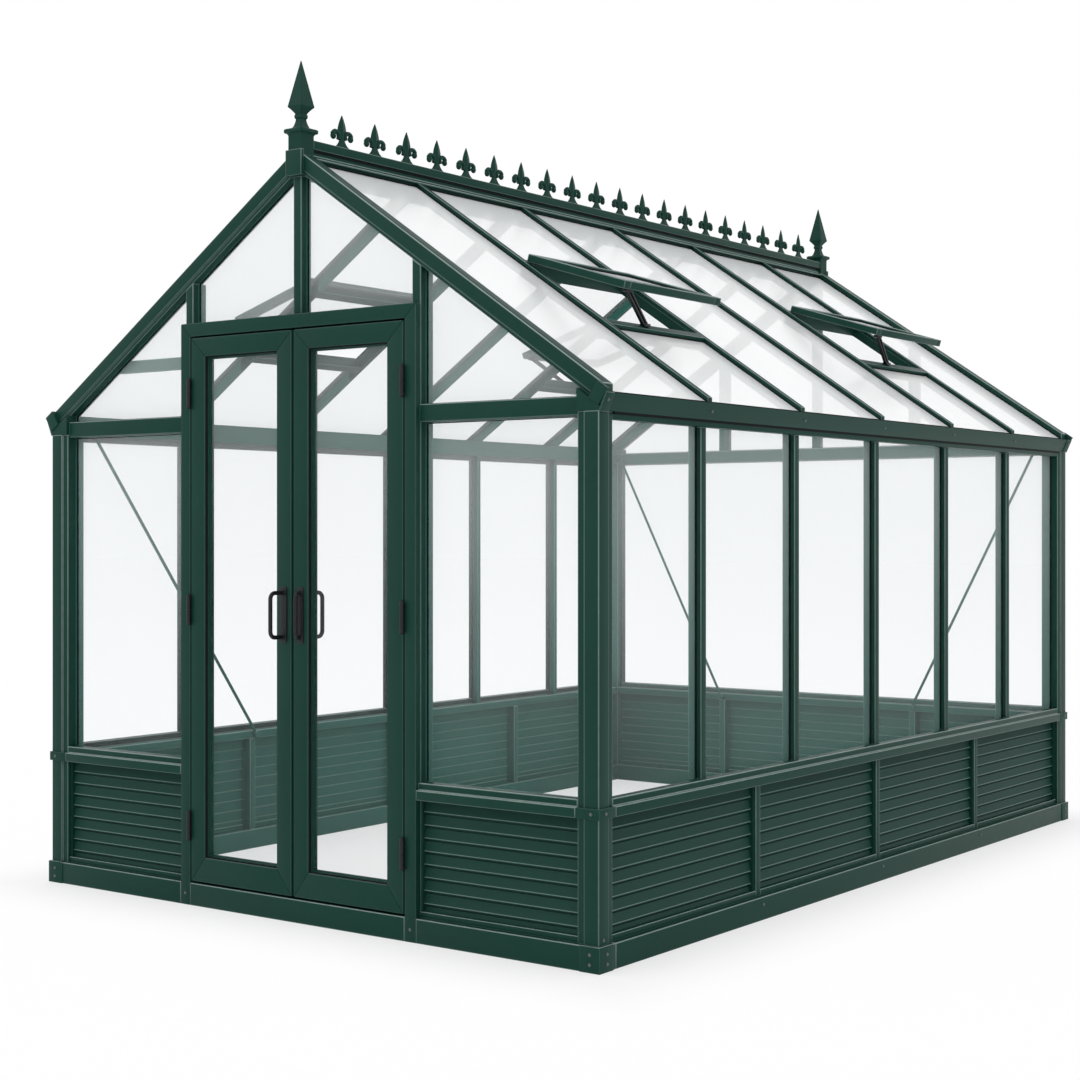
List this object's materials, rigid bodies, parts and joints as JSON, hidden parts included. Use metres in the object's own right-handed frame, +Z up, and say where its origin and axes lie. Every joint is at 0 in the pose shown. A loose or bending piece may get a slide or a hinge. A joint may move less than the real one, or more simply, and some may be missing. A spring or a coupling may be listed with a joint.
{
  "type": "aluminium greenhouse",
  "caption": "Glazed aluminium greenhouse with a pitched roof, boarded kick panels, a hinged double door, open roof vents and a crested ridge.",
  "frame": {"origin": "middle of the bounding box at ground level", "axes": "+Z up, +Y along the ridge from the door end to the back, +X across to the side without a wind brace"},
  "size_m": [2.505, 3.745, 2.8398],
  "materials": {
    "green_frame": "satin dark green powder coat",
    "glass": "clear",
    "black_metal": "satin black"
  },
  "bodies": {
    "frame": {"base_end_rails": "green_frame", "base_side_rails": "green_frame", "corner_brackets": "green_frame", "door_threshold": "green_frame", "corner_posts": "green_frame", "dado_rails": "green_frame", "end_kick_panels": "green_frame", "side_kick_panels": "green_frame", "kick_panel_dividers": "green_frame", "left_mullions": "green_frame", "right_mullions": "green_frame", "gutters": "green_frame", "gable_rafters": "green_frame", "gable_posts": "green_frame", "tie_rails": "green_frame", "ridge_beam": "green_frame", "ridge_cresting": "green_frame", "finials": "green_frame", "left_roof_bars": "green_frame", "right_roof_bars": "green_frame", "left_wall_glass": "glass", "right_wall_glass": "glass", "front_glass": "glass", "back_glass": "glass", "left_roof_glass": "glass", "right_roof_glass": "glass", "vent_frame_bars": "green_frame", "vent_sash_stiles": "green_frame", "vent_sash_rails": "green_frame", "vent_glass": "glass", "vent_stays": "black_metal", "wind_braces": "green_frame", "door_jambs": "green_frame", "door_head": "green_frame", "door_hinge_pins": "black_metal"},
    "left_door": {"left_door_stiles": "green_frame", "left_door_rails": "green_frame", "left_door_glass": "glass", "left_door_handles": "black_metal", "left_door_hinges": "black_metal"},
    "right_door": {"right_door_stiles": "green_frame", "right_door_rails": "green_frame", "right_door_glass": "glass", "right_door_handles": "black_metal", "right_door_hinges": "black_metal"}
  },
  "joints": [
    {"name": "left_door_hinge", "type": "hinge", "parent": "frame", "child": "left_door", "pos_m": [-0.481, -1.8115, 1.0165], "axis": [0, 0, -1], "range_deg": [0, 110]},
    {"name": "right_door_hinge", "type": "hinge", "parent": "frame", "child": "right_door", "pos_m": [0.481, -1.8115, 1.0165], "axis": [0, 0, 1], "range_deg": [0, 110]}
  ]
}
